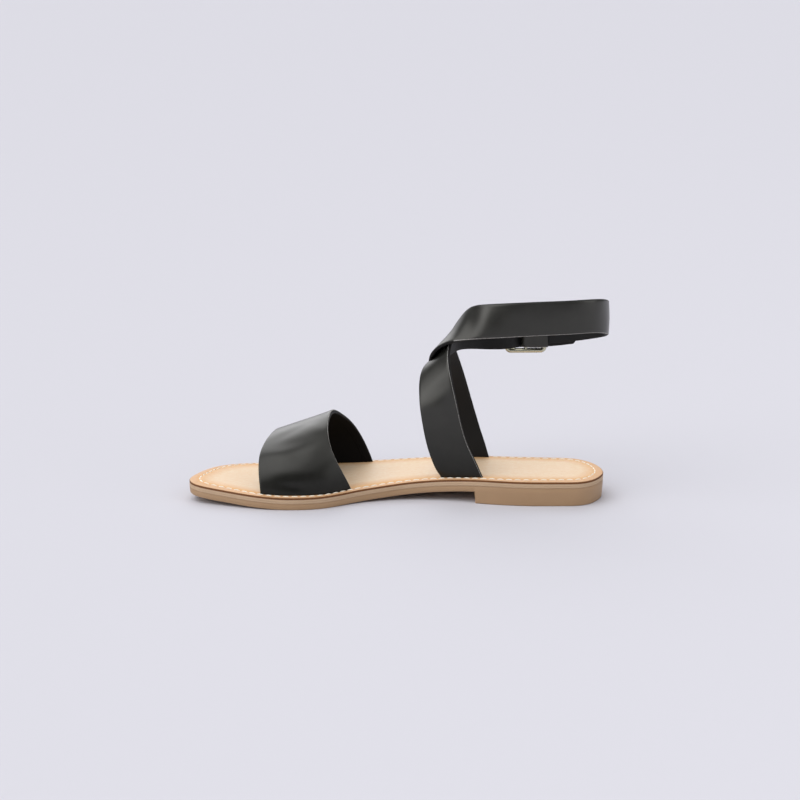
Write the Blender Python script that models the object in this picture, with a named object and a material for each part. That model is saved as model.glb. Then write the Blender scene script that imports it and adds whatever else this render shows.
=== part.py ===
"""Flat leather sandal for the right foot: toe band, straps that cross at the instep, buckled ankle.

Every size below is in millimetres and the mesh makers turn it into metres.
Tables measure x from the toe tip towards the heel, y from the middle of the ball towards the
outer (lateral) side, and z from the floor. The medial side therefore faces -Y and the toe -X.
"""

import math
from collections import namedtuple

import bpy
import numpy as np

MM = 0.001

# Driving dimensions of the sole.
LENGTH = 251.2
LOOP_OVERHANG = 2.93  # how far the ankle loop stands out behind the heel
BALL_FRONT = 60.0  # the forefoot is flat on the floor from here
BALL_BACK = 82.0  # to here
HEEL_FRONT = 185.0  # the waist stops rising here
BREAST = 172.5  # front face of the heel block
TOE_SPRING = 4.3
ARCH_RISE = 7.4  # underside of the waist above the floor, at its back
WALL_INSET = 0.3  # the outsole's wall stands this far inside the outline
HEEL_TAPER = 0.8  # at the back of the heel the wall leans in this much at the floor
HEEL_CORNER = 0.5  # rounding of the heel block's front corners
SOLE_LINE = 1.6  # height of the outsole's bevelled foot in front of the heel
BOTTOM_BEVEL = 0.7
LINE_INSET = 0.25  # inset of the wall at the sole line
TOP_INSET = 0.1
TOP_ROUND = 0.35

# Layers of the sole, from the floor up.
OUTSOLE_THICK = 3.8
MIDSOLE_THICK = 1.8
INSOLE_EDGE = 1.3
PAD_RISE = 0.6  # the insole's middle stands over its edge by this much
PAD_MARGIN = 6.0  # width of the sloping margin
LAYER_GAP = 0.3
MIDSOLE_ROUND = 0.25
INSOLE_ROUND = 0.3

# Leather of the upper.
LEATHER = 2.0
SKIVED_LEATHER = 1.4  # thinned where a strap end folds round the buckle
STRAP_CROWN = 0.5  # the middle of a strap stands out of its edges by this much
SLOT_INSET = 5.3  # sole edge to the slit that a strap goes down through
CLEARANCE = 0.3

# Toe band: height of its ridge over the floor at two places along the foot.
RIDGE_FRONT_X, RIDGE_FRONT_Z = 50.0, 36.9
RIDGE_REAR_X, RIDGE_REAR_Z = 88.0, 49.4
BAND_FULLNESS = 0.92  # under 1 makes the arch squarer than an ellipse

# Buckle: a ring of round wire with a bar across its middle, which the strap end is folded round.
WIRE_RADIUS = 1.5
BAR_RADIUS = 1.0
FRAME_LENGTH = 23.0  # rear end to front end of the ring, centre to centre
FRAME_HEIGHT = 24.0  # lower rail to upper rail, centre to centre
FRAME_CORNER = 2.4
PRONG_RADIUS = 0.8
PRONG_OVERHANG = 2.0  # the pin's tip reaches this far past the middle of the wire it rests on

# Fineness of the meshes.
STATIONS = 44
BAND_STEPS_ROUND, BAND_STEPS_ALONG = 30, 8
STRAP_STEP = 4.0
STRAP_STEPS_ACROSS = 4

ORIGIN_X = (LENGTH + LOOP_OVERHANG) / 2
FOLD_RADIUS = BAR_RADIUS + CLEARANCE + SKIVED_LEATHER / 2

Plan = namedtuple("Plan", "x medial lateral")
PLAN = [
    Plan(0, -16, -16),
    Plan(4, -26.5, 1),
    Plan(12, -31.5, 18),
    Plan(25, -36.5, 31),
    Plan(42, -42.5, 39),
    Plan(65, -45, 44),
    Plan(80, -42, 45),
    Plan(91, -36, 44.8),
    Plan(101, -29.8, 44),
    Plan(113, -25.2, 42.6),
    Plan(130, -21.8, 40),
    Plan(150, -23, 36),
    Plan(170, -28.3, 32),
    Plan(190, -33.8, 29),
    Plan(207, -36, 27.2),
    Plan(223, -36.1, 25.6),
    Plan(234, -35.5, 23.8),
    Plan(243.5, -29.4, 16.4),
    Plan(249, -19.4, 5.6),
    Plan(251.2, -9, -9),
]

# Where the band's two edges run: share of the way round, from the medial to the lateral slit.
BandEdge = namedtuple("BandEdge", "share front_x rear_x")
BAND_EDGES = [
    BandEdge(0, 44.2, 98),
    BandEdge(1 / 6, 42.9, 87.8),
    BandEdge(2 / 6, 44.4, 84.2),
    BandEdge(3 / 6, 50, 85.6),
    BandEdge(4 / 6, 54.5, 89.8),
    BandEdge(5 / 6, 56.5, 100),
    BandEdge(1, 57, 110.5),
]

# Centre line of each strap, and the direction across it towards its upper or rear edge.
Section = namedtuple("Section", "place x y z width across")
MEDIAL_STRAP = [
    Section("slit", 165.1, -21, 14, 26, (0.965, -0.26, 0)),
    Section("arch", 157.4, -21.6, 30.4, 24.4, (0.91, -0.2, 0.36)),
    Section("ankle bone", 152.5, -22, 48.5, 23.4, (0.9, -0.2, 0.38)),
    Section("turn", 149.6, -21, 66.1, 23, (0.84, -0.3, 0.45)),
    Section("front", 149, -14.9, 78.7, 23, (0.73, -0.44, 0.52)),
    Section("crossing", 153.1, -6.6, 88.4, 22.5, (0.51, -0.54, 0.67)),
    Section("outer turn", 158.5, 1.6, 91.7, 20.6, (0.27, -0.52, 0.81)),
    Section("outer front", 164.5, 14.3, 95.1, 21, (0.19, -0.17, 0.97)),
    Section("outer side", 176.7, 25.5, 94.1, 20.5, (0.05, 0, 1)),
]
LATERAL_STRAP = [
    Section("slit", 170.3, 26.8, 14, 26, (0.99, -0.12, 0)),
    Section("arch", 165.8, 28.5, 29.3, 24.4, (0.95, -0.05, 0.3)),
    Section("ankle bone", 159, 26, 54, 23.8, (0.95, 0.1, 0.3)),
    Section("turn", 155.3, 18.3, 70.2, 23.2, (0.85, 0.34, 0.41)),
    Section("front", 153.1, 8.3, 82.5, 22.8, (0.68, 0.63, 0.38)),
    Section("crossing", 155.3, -6.5, 95.8, 19.6, (0.54, 0.75, 0.39)),
    Section("inner turn", 162.3, -12, 103, 20.2, (0.18, 0.83, 0.53)),
    Section("inner front", 171.3, -20.2, 109, 20.7, (0.06, 0.4, 0.91)),
    Section("inner side", 181, -25.4, 111, 20.5, (-0.04, 0.2, 0.98)),
    Section("inner ankle", 210.6, -29, 113.2, 20.4, (0, 0.03, 1)),
    Section("inner back", 232, -26.7, 113.8, 20.4, (0, 0, 1)),
    Section("back turn", 244.5, -20, 113.2, 20.4, (0, 0, 1)),
    Section("back", 252.4, -3, 109, 20.4, (0, 0.1, 1)),
    Section("outer back turn", 248.6, 15.5, 103.4, 20.4, (0, 0.1, 1)),
    Section("outer back", 237, 24, 99.7, 20.2, (0, 0.05, 1)),
]

# The buckle's own frame: its middle bar, the way its ring points and the way its face looks.
BAR = np.array([205.0, 26.14, 94.9])
FORWARD = np.array([-1.0, -0.03, 0.0])
OUTWARD = np.array([-0.03, 1.0, 0.0])

# Strap ends measured from the middle bar. The medial strap runs through the buckle as a tail:
# inside the ring's front end, over the bar, and over the ring's rear end.
StrapEnd = namedtuple("StrapEnd", "forward outward up width")
TAIL = [
    StrapEnd(15.5, -2, -0.6, 20.4),
    StrapEnd(11.6, -2.85, -0.2, 20.2),
    StrapEnd(8.2, -2.2, -0.1, 20.2),
    StrapEnd(5.3, 0.6, -0.1, 20.2),
    StrapEnd(2.2, 3.5, -0.25, 20.6),
    StrapEnd(-1, 4.4, -0.3, 21.2),
    StrapEnd(-6, 3.7, 0, 21.2),
    StrapEnd(-12, 2.9, 0.3, 21),
    StrapEnd(-21.5, 1.4, 1.2, 20.7),
    StrapEnd(-28.8, 0.65, 1.95, 20.3),
    StrapEnd(-30.4, 0.5, 2.1, 16),
]
# The lateral strap comes in inside the ring's rear end, goes round the bar and returns as a flap.
APPROACH = [
    StrapEnd(-24, -2.2, 3.3, 19.4),
    StrapEnd(-12, -2.7, 1.85, 18.4),
    StrapEnd(-6.3, -0.6, 0.65, 18.5),
    StrapEnd(-3, 1.4, 0.1, 19.8),
]
FLAP = [
    StrapEnd(-4, -2.5, 0.1, 19.8),
    StrapEnd(-9, -4, 0.35, 19.6),
    StrapEnd(-13, -4.6, 0.55, 19.4),
]


def unit(vectors):
    vectors = np.asarray(vectors, float)
    return vectors / np.linalg.norm(vectors, axis=-1, keepdims=True)


def spline(knots, values):
    """Natural cubic spline through a table, as a function of the knot variable."""
    knots = np.asarray(knots, float)
    values = np.asarray(values, float).reshape(len(knots), -1)
    count, step = len(knots), np.diff(knots)
    system, right = np.eye(count), np.zeros_like(values)
    for i in range(1, count - 1):
        system[i, i - 1 : i + 2] = step[i - 1], 2 * (step[i - 1] + step[i]), step[i]
        rise_after = (values[i + 1] - values[i]) / step[i]
        rise_before = (values[i] - values[i - 1]) / step[i - 1]
        right[i] = 6 * (rise_after - rise_before)
    bend = np.linalg.solve(system, right)

    def at(query):
        query = np.atleast_1d(np.asarray(query, float))
        i = np.clip(np.searchsorted(knots, query) - 1, 0, count - 2)
        width = step[i][:, None]
        a = (knots[i + 1] - query)[:, None] / width
        b = 1 - a
        curve = (a**3 - a) * bend[i] + (b**3 - b) * bend[i + 1]
        return a * values[i] + b * values[i + 1] + curve * width**2 / 6

    return at


def ease(share):
    share = np.clip(share, 0, 1)
    return share * share * (3 - 2 * share)


def share_of(x):
    """Position along the foot as an angle share, in which round ends are smooth."""
    return np.arccos(1 - 2 * np.clip(x, 0, LENGTH) / LENGTH) / math.pi


plan_sides = spline([share_of(row.x) for row in PLAN], [row[1:] for row in PLAN])


def underside(x):
    """Height of the sole's underside along the foot, without the heel block."""
    toe = TOE_SPRING * np.clip((BALL_FRONT - x) / BALL_FRONT, 0, 1) ** 1.4
    return toe + ARCH_RISE * ease((x - BALL_BACK) / (HEEL_FRONT - BALL_BACK))


def outsole_top(x):
    return underside(x) + OUTSOLE_THICK


def midsole_top(x):
    return outsole_top(x) + LAYER_GAP + MIDSOLE_THICK


def insole_bottom(x):
    return midsole_top(x) + LAYER_GAP


def insole_edge(x):
    return insole_bottom(x) + INSOLE_EDGE


def insole_top(x):
    return insole_edge(x) + PAD_RISE


def station_places():
    """Places along the foot, close together at the toe and heel, with the heel breast as a step."""
    even = LENGTH / 2 * (1 - np.cos(np.pi * np.arange(STATIONS + 1) / STATIONS))
    step = [BREAST - 0.15, BREAST + 0.15, BREAST + HEEL_CORNER]
    clear = [x for x in even if not step[0] - 2 < x < step[-1] + 2]
    return np.array(sorted(clear + step))


PLACES = station_places()


def outline():
    """The sole seen from above: toe tip, lateral side, heel and medial side, as a closed ring."""
    sides = plan_sides(share_of(PLACES))
    lateral = np.column_stack([PLACES, sides[:, 1]])
    medial = np.column_stack([PLACES, sides[:, 0]])
    return np.vstack([lateral, medial[-2:0:-1]])


def inward(ring):
    along = unit(np.roll(ring, -1, axis=0) - np.roll(ring, 1, axis=0))
    return np.column_stack([along[:, 1], -along[:, 0]])


def level(inset, height):
    """One ring of a sole layer, moved inwards, with its height worked out along the foot."""
    ring = outline()
    x = ring[:, 0]
    moved = ring + inward(ring) * np.broadcast_to(inset(x), x.shape)[:, None]
    return np.column_stack([moved, height(x)])


def constant(value):
    return lambda x: np.full_like(x, value)


def layer_faces(ring_size, ring_count):
    """Faces of stacked rings, with the first and last ring closed by strips across the foot."""
    half = ring_size // 2
    faces = []
    for k in range(ring_count - 1):
        low, high = k * ring_size, (k + 1) * ring_size
        for i in range(ring_size):
            j = (i + 1) % ring_size
            faces.append((low + j, low + i, high + i, high + j))
    for start, upward in ((0, False), ((ring_count - 1) * ring_size, True)):
        for i in range(half):
            strip = [i, i + 1, (ring_size - i - 1) % ring_size, (ring_size - i) % ring_size]
            strip = [start + v for v in dict.fromkeys(strip)]
            faces.append(tuple(strip[::-1] if upward else strip))
    return faces


def make_object(name, points, faces, finish):
    """A closed mesh object from millimetre points, placed about the part's origin."""
    placed = (np.asarray(points, float) - [ORIGIN_X, 0, 0]) * MM
    mesh = bpy.data.meshes.new(name)
    mesh.from_pydata([tuple(p) for p in placed], [], faces)
    mesh.validate()
    mesh.shade_smooth()
    mesh.set_sharp_from_angle(angle=math.radians(35))
    made = bpy.data.objects.new(name, mesh)
    bpy.context.scene.collection.objects.link(made)
    if finish:
        mesh.materials.append(finish)
    return made


def layer_object(name, levels, finish):
    rings = [level(inset, height) for inset, height in levels]
    return make_object(name, np.vstack(rings), layer_faces(len(rings[0]), len(rings)), finish)


def heel_part(x):
    return (x > BREAST).astype(float)


def make_outsole(finish):
    """Moulded sole and heel block in one, with a taper and rounded front corners on the heel."""

    def wall_inset(x):
        corner = HEEL_CORNER * (1 - ease((x - BREAST) / HEEL_CORNER))
        lean = (HEEL_TAPER - WALL_INSET) * ease((x - BREAST) / (LENGTH - BREAST))
        return WALL_INSET + heel_part(x) * (lean + corner)

    def floor(x):
        return underside(x) * (1 - heel_part(x))

    def sole_line(x):
        return underside(x) + SOLE_LINE * (1 - heel_part(x))

    levels = [
        (lambda x: wall_inset(x) + BOTTOM_BEVEL, floor),
        (wall_inset, lambda x: floor(x) + BOTTOM_BEVEL),
        (constant(LINE_INSET), sole_line),
        (constant(TOP_INSET), lambda x: outsole_top(x) - TOP_ROUND),
        (constant(TOP_INSET + TOP_ROUND), outsole_top),
    ]
    return layer_object("outsole", levels, finish)


def sheet_levels(bottom, top, edge):
    """Levels of a sheet layer of the sole, with its two edges slightly rounded."""
    return [
        (constant(edge), bottom),
        (constant(0), lambda x: bottom(x) + edge),
        (constant(0), lambda x: top(x) - edge),
        (constant(edge), top),
    ]


def make_midsole(finish):
    levels = sheet_levels(lambda x: outsole_top(x) + LAYER_GAP, midsole_top, MIDSOLE_ROUND)
    return layer_object("midsole", levels, finish)


def make_insole(finish):
    """The sheet under the foot, padded in the middle so that its margin slopes to the edge."""
    levels = sheet_levels(insole_bottom, insole_edge, INSOLE_ROUND)
    for share in (0.5, 1):
        rise = PAD_RISE * math.sin(share * math.pi / 2)
        levels.append((constant(PAD_MARGIN * share), lambda x, rise=rise: insole_edge(x) + rise))
    return layer_object("insole", levels, finish)


def grid_normals(grid):
    round_way = np.gradient(grid, axis=0)
    along_way = np.gradient(grid, axis=1)
    return unit(np.cross(round_way, along_way))


def wall_object(name, middle, out, thick, finish):
    """A leather wall of real thickness about a grid of points on its middle surface."""
    rows, columns = middle.shape[:2]
    half = np.broadcast_to(np.asarray(thick, float) / 2, (rows,))[:, None, None]
    outer = (middle + out * half).reshape(-1, 3)
    inner = (middle - out * half).reshape(-1, 3)
    size = rows * columns
    faces = []
    for i in range(rows - 1):
        for j in range(columns - 1):
            a, b = i * columns + j, i * columns + j + 1
            c, d = b + columns, a + columns
            faces.append((a, d, c, b))
            faces.append((size + a, size + b, size + c, size + d))
    rim = list(range(columns))
    rim += [i * columns + columns - 1 for i in range(1, rows)]
    rim += [(rows - 1) * columns + j for j in range(columns - 2, -1, -1)]
    rim += [i * columns for i in range(rows - 2, 0, -1)]
    for a, b in zip(rim, rim[1:] + rim[:1]):
        faces.append((a, b, size + b, size + a))
    return make_object(name, np.vstack([outer, inner]), faces, finish)


def outward_faces(made):
    """Turns the mesh round where its sign of volume says that it is inside out."""
    volume = 0.0
    mesh = made.data
    mesh.calc_loop_triangles()
    for triangle in mesh.loop_triangles:
        a, b, c = (mesh.vertices[v].co for v in triangle.vertices)
        volume += a.dot(b.cross(c))
    if volume < 0:
        mesh.flip_normals()
    return made


def band_grid(margin, depth):
    """Middle surface of the toe band: an arch over the foot between its two edge lines."""
    shares = np.linspace(0, 1, BAND_STEPS_ROUND + 1)
    edges = spline([row.share for row in BAND_EDGES], [row[1:] for row in BAND_EDGES])(shares)
    front, rear = edges[:, 0] - margin, edges[:, 1] + margin
    along = np.linspace(0, 1, BAND_STEPS_ALONG + 1)
    x = front[:, None] + (rear - front)[:, None] * along
    sides = plan_sides(share_of(x.ravel())).reshape(*x.shape, 2)
    medial, lateral = sides[..., 0] + SLOT_INSET, sides[..., 1] - SLOT_INSET
    turn = np.pi * shares[:, None]
    y = (medial + lateral) / 2 - (lateral - medial) / 2 * np.cos(turn)
    slope = (RIDGE_REAR_Z - RIDGE_FRONT_Z) / (RIDGE_REAR_X - RIDGE_FRONT_X)
    ridge = RIDGE_FRONT_Z + slope * (x - RIDGE_FRONT_X)
    foot = insole_top(x)
    z = foot + (ridge - foot) * np.sin(turn) ** BAND_FULLNESS
    arch = np.stack([x, y, z], axis=-1)
    arch[0, :, 2], arch[-1, :, 2] = foot[0], foot[-1]
    below = insole_bottom(x) - depth
    first, last = arch[0].copy(), arch[-1].copy()
    first[:, 2], last[:, 2] = below[0], below[-1]
    return np.concatenate([first[None], arch, last[None]])


def make_toe_band(name, grow, depth, finish):
    grid = band_grid(grow, depth)
    return outward_faces(wall_object(name, grid, grid_normals(grid), LEATHER + 2 * grow, finish))


def buckle_point(forward, outward, up=0.0):
    """A place given from the buckle's middle bar, in the buckle's own directions."""
    up_way = unit(np.cross(OUTWARD, FORWARD))
    return BAR + unit(FORWARD) * forward + unit(OUTWARD) * outward + up_way * up


def fold_rows():
    """The lateral strap's end: in to the middle bar, round it, and back inside as a flap."""
    last = APPROACH[-1]
    fold = []
    for turn in np.radians(np.linspace(90, -90, 9)):
        along, out = FOLD_RADIUS * math.cos(turn), FOLD_RADIUS * math.sin(turn)
        fold.append(StrapEnd(along, out, last.up, last.width))
    return APPROACH + fold + FLAP


def strap_sections(table, ends, depth):
    """Centres, across directions and widths of a strap from its table and its buckle end."""
    across_up = unit(np.cross(OUTWARD, FORWARD))
    centres, across, widths = [], [], []
    first, second = table[:2]
    below, above = insole_bottom(np.array([first.x - 1, first.x + 1]))
    seat = (below + above) / 2 - depth
    beyond = (seat - first.z) / (second.z - first.z)
    seat_x = first.x + beyond * (second.x - first.x)
    first = first._replace(across=(2, 2 * first.across[1] / first.across[0], above - below))
    for row in [first._replace(x=seat_x, z=seat), first] + table[1:]:
        centres.append(np.array([row.x, row.y, row.z]))
        across.append(unit(row.across))
        widths.append(row.width)
    for row in ends:
        centres.append(buckle_point(row.forward, row.outward, row.up))
        across.append(across_up)
        widths.append(row.width)
    return np.array(centres), np.array(across), np.array(widths)


def strap_grid(sections, end_count, outward_sign, grow):
    """Middle surface of a strap, its outward directions, and how far each row is from its end part."""
    centres, across, widths = sections
    run = np.concatenate([[0], np.cumsum(np.linalg.norm(np.diff(centres, axis=0), axis=1))])
    path, ways = spline(run, centres), spline(run, across)
    stops = np.unique(np.concatenate([np.arange(0, run[-1], STRAP_STEP), run]))
    stops = stops[np.concatenate([[True], np.diff(stops) > 0.4])]
    middle, way = path(stops), unit(ways(stops))
    along = unit(np.gradient(middle, stops, axis=0))
    square = unit(way - along * np.sum(way * along, axis=1)[:, None])
    blend = ease((stops - run[1]) / (run[2] - run[1]))[:, None]
    way = unit(way + (square - way) * blend)
    out = outward_sign * unit(np.cross(along, way))
    width = np.interp(stops, run, widths)[:, None, None] + 2 * grow
    place = np.linspace(-1, 1, STRAP_STEPS_ACROSS + 1)[None, :, None]
    before_end = run[len(centres) - end_count] - stops
    crown = STRAP_CROWN * ease(before_end / 15)[:, None, None] * (1 - place**2)
    grid = middle[:, None] + way[:, None] * place * width / 2 + out[:, None] * crown
    return grid, np.broadcast_to(out[:, None], grid.shape), before_end


def make_medial_strap(name, grow, depth, finish):
    """From the medial slit over the instep to the outer side, and through the buckle."""
    sections = strap_sections(MEDIAL_STRAP, TAIL, depth)
    grid, out, _ = strap_grid(sections, len(TAIL), -1, grow)
    return outward_faces(wall_object(name, grid, out, LEATHER + 2 * grow, finish))


def make_lateral_strap(name, grow, depth, finish):
    """From the lateral slit over the instep, round the back of the ankle, and folded on the bar."""
    ends = fold_rows()
    sections = strap_sections(LATERAL_STRAP, ends, depth)
    grid, out, before_end = strap_grid(sections, len(ends), 1, grow)
    thick = LEATHER + (SKIVED_LEATHER - LEATHER) * ease(-before_end / 8) + 2 * grow
    return outward_faces(wall_object(name, grid, out, thick, finish))


def tube(name, places, radius, cyclic, finish):
    """Round wire along a line of places, as a mesh."""
    line = bpy.data.curves.new(name, "CURVE")
    line.dimensions = "3D"
    line.bevel_depth = radius * MM
    line.bevel_resolution = 2
    line.use_fill_caps = not cyclic
    run = line.splines.new("POLY")
    run.points.add(len(places) - 1)
    run.use_cyclic_u = cyclic
    for point, place in zip(run.points, places):
        point.co = (*((place - [ORIGIN_X, 0, 0]) * MM), 1)
    guide = bpy.data.objects.new(name + "_line", line)
    bpy.context.scene.collection.objects.link(guide)
    graph = bpy.context.evaluated_depsgraph_get()
    mesh = bpy.data.meshes.new_from_object(guide.evaluated_get(graph))
    bpy.data.objects.remove(guide)
    mesh.name = name
    made = bpy.data.objects.new(name, mesh)
    bpy.context.scene.collection.objects.link(made)
    mesh.shade_smooth()
    mesh.materials.clear()
    if finish:
        mesh.materials.append(finish)
    return weld(made)


def weld(made):
    """Joins the doubled points where a tube closes on itself or meets its caps."""
    modifier = made.modifiers.new("weld", "WELD")
    modifier.merge_threshold = 1e-6
    return apply_modifiers(made)


def apply_modifiers(made):
    graph = bpy.context.evaluated_depsgraph_get()
    mesh = bpy.data.meshes.new_from_object(made.evaluated_get(graph))
    made.modifiers.clear()
    made.data = mesh
    return made


def combine(made, other, operation):
    """Joins another solid to this one or cuts it away, and takes the other out of the scene."""
    modifier = made.modifiers.new(operation.lower(), "BOOLEAN")
    modifier.operation = operation
    modifier.solver = "EXACT"
    modifier.object = other
    apply_modifiers(made)
    bpy.data.objects.remove(other)
    return made


def make_buckle_frame(finish):
    """The ring, and the bar that joins the middles of its two rails."""
    long, high = FRAME_LENGTH / 2 - FRAME_CORNER, FRAME_HEIGHT / 2 - FRAME_CORNER
    corners = [(long, high, 0), (-long, high, 90), (-long, -high, 180), (long, -high, 270)]
    places = []
    for forward, up, start in corners:
        for turn in np.radians(start + np.linspace(0, 90, 6)):
            along = forward + FRAME_CORNER * math.cos(turn)
            places.append(buckle_point(along, 0, up + FRAME_CORNER * math.sin(turn)))
    ring = tube("buckle_frame", places, WIRE_RADIUS, True, finish)
    bar = [buckle_point(0, 0, share * FRAME_HEIGHT) for share in (-0.5, 0.5)]
    return combine(ring, tube("middle_bar", bar, BAR_RADIUS, False, finish), "UNION")


def make_prong(name, grow, loop_start, finish):
    """Pin looped round the middle bar, with its tip resting on the ring's front end."""
    loop = BAR_RADIUS + CLEARANCE + PRONG_RADIUS
    rise = (WIRE_RADIUS - BAR_RADIUS) / (FRAME_LENGTH / 2)
    turns = np.radians(np.linspace(loop_start, -270, 13))
    places = [buckle_point(loop * math.cos(t), loop * math.sin(t)) for t in turns]
    for forward in np.linspace(0, FRAME_LENGTH / 2 + PRONG_OVERHANG, 5)[1:]:
        places.append(buckle_point(forward, loop + rise * forward))
    return tube(name, places, PRONG_RADIUS + grow, False, finish)


def finish_of(name, colour, roughness, metallic=0.0):
    made = bpy.data.materials.new(name)
    made.use_nodes = True
    shader = made.node_tree.nodes["Principled BSDF"]
    shader.inputs["Base Color"].default_value = (*colour, 1)
    shader.inputs["Roughness"].default_value = roughness
    shader.inputs["Metallic"].default_value = metallic
    made.diffuse_color = (*colour, 1)
    return made


def main():
    for leftover in list(bpy.data.objects):
        bpy.data.objects.remove(leftover)
    black = finish_of("black_leather", (0.018, 0.018, 0.017), 0.42)
    tan = finish_of("tan_leather", (0.78, 0.55, 0.35), 0.45)
    beige = finish_of("beige_rubber", (0.45, 0.34, 0.25), 0.6)
    brown = finish_of("brown_rubber", (0.34, 0.235, 0.155), 0.55)
    gold = finish_of("pale_gold", (0.72, 0.66, 0.48), 0.3, 1.0)

    make_outsole(brown)
    make_midsole(beige)
    insole = make_insole(tan)

    make_toe_band("toe_band", 0, 0, black)
    straps = make_medial_strap("ankle_straps", 0, 0, black)
    combine(straps, make_lateral_strap("lateral_half", 0, 0, None), "UNION")

    for cutter in (
        make_toe_band("band_slits", CLEARANCE, 1, None),
        make_medial_strap("medial_slit", CLEARANCE, 1, None),
        make_lateral_strap("lateral_slit", CLEARANCE, 1, None),
    ):
        combine(insole, cutter, "DIFFERENCE")

    make_buckle_frame(gold)
    make_prong("buckle_prong", 0, -60, gold)
    combine(straps, make_prong("prong_hole", CLEARANCE, 0, None), "DIFFERENCE")


if __name__ == "__main__":
    main()
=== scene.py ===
# %% [markdown]
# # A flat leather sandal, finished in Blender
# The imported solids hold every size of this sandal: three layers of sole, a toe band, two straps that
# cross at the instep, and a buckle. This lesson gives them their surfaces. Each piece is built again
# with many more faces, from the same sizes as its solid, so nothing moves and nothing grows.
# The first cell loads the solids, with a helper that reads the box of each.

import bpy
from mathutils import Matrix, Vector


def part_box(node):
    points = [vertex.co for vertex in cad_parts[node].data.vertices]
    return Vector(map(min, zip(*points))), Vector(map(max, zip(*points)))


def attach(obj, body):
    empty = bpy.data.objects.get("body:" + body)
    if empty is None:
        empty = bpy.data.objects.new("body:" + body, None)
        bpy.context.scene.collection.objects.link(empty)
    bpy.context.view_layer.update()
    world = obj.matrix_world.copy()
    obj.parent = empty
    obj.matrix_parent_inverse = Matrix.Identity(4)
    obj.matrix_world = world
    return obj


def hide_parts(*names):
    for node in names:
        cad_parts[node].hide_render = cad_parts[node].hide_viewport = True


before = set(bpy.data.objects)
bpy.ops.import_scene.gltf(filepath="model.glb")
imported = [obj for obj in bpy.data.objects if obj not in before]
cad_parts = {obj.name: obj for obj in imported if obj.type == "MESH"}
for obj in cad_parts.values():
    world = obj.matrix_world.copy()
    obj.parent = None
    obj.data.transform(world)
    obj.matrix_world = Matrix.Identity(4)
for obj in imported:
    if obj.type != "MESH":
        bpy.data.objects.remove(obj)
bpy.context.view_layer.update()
print("solids:", ", ".join(sorted(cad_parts)))

# %% Modules and units
import math
from collections import namedtuple

import bpy
import numpy as np
from mathutils import Vector

MM = 0.001
TOE_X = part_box("insole")[0].x / MM
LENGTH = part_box("insole")[1].x / MM - TOE_X
print(f"sole length {LENGTH:.1f} mm, toe tip at x = {TOE_X:.2f} mm")

# %% [markdown]
# ## The camera
# The photograph was taken from the inner side of the foot, a little above it, from far away.
# A long lens shows that as almost parallel lines. The focal length is known in pixels of the square
# picture, and Blender wants millimetres on its sensor, so one is turned into the other.
# The camera comes first because every later choice is judged through it.

# %% Place the camera
PICTURE_SIDE = 800
FOCAL_PIXELS = 2465
VIEW_ELEVATION = math.radians(12.7)
VIEW_DISTANCE = 1.5
AIM = Vector((0.0005, 0.0, 0.0574))


def link(name, data):
    """An object for a mesh, curve, lamp or camera, put into the scene."""
    made = bpy.data.objects.new(name, data)
    bpy.context.scene.collection.objects.link(made)
    return made


camera_data = bpy.data.cameras.new("photo_camera")
camera_data.lens = camera_data.sensor_width * FOCAL_PIXELS / PICTURE_SIDE
camera = link("photo_camera", camera_data)
backwards = Vector((0, -math.cos(VIEW_ELEVATION), math.sin(VIEW_ELEVATION)))
camera.location = AIM + backwards * VIEW_DISTANCE
camera.rotation_euler = (-backwards).to_track_quat("-Z", "Y").to_euler()
bpy.context.scene.camera = camera
print(f"lens {camera_data.lens:.1f} mm, {VIEW_DISTANCE} m from the sandal")

# %% [markdown]
# ## Floor and light
# The sandal stands on a pale, faintly lilac sweep under very soft light: a dim shadow right under
# the sole and long, smooth reflections in the black leather. A large plane makes the floor, because
# the camera looks down enough to see nothing but floor. The soft boxes of the studio are painted on
# the world as round glows. Lamps near the sandal would do as well, but their light fades across the
# floor, and the photograph's floor is even from front to back. One weak lamp on the right makes the
# slight change from left to right.

# %% Paint the world
SKY_COLOUR = (0.98, 0.98, 1.0)
SKY_BASE = 0.22

# Each glow: the direction to it, the angles where it starts to fade and where it ends, its strength.
Glow = namedtuple("Glow", "name towards inner outer strength")
GLOWS = [
    Glow("left box", (-0.6, -0.35, 0.72), 14, 44, 2.1),
    Glow("back box", (-0.15, 0.75, 0.62), 12, 42, 2.1),
    Glow("front box", (0.2, -0.45, 0.87), 12, 40, 0.75),
    Glow("left strip", (-0.86, -0.5, 0.1), 6, 22, 1.6),
    Glow("right strip", (0.9, -0.35, 0.25), 8, 24, 1.3),
]


def paint_sky():
    """A world that is dim all round, with a soft glow for every box of the studio."""
    world = bpy.data.worlds.new("soft_studio")
    world.use_nodes = True
    tree = world.node_tree
    background = tree.nodes["Background"]
    background.inputs["Color"].default_value = (*SKY_COLOUR, 1)
    direction = tree.nodes.new("ShaderNodeTexCoord").outputs["Generated"]
    total = None
    for glow in GLOWS:
        facing = tree.nodes.new("ShaderNodeVectorMath")
        facing.operation = "DOT_PRODUCT"
        tree.links.new(direction, facing.inputs[0])
        facing.inputs[1].default_value = Vector(glow.towards).normalized()
        fade = tree.nodes.new("ShaderNodeMapRange")
        fade.interpolation_type = "SMOOTHSTEP"
        fade.inputs["From Min"].default_value = math.cos(math.radians(glow.outer))
        fade.inputs["From Max"].default_value = math.cos(math.radians(glow.inner))
        fade.inputs["To Max"].default_value = glow.strength
        tree.links.new(facing.outputs["Value"], fade.inputs["Value"])
        add = tree.nodes.new("ShaderNodeMath")
        add.inputs[0].default_value = SKY_BASE
        if total:
            tree.links.new(total, add.inputs[0])
        tree.links.new(fade.outputs["Result"], add.inputs[1])
        total = add.outputs[0]
    tree.links.new(total, background.inputs["Strength"])
    bpy.context.scene.world = world


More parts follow.
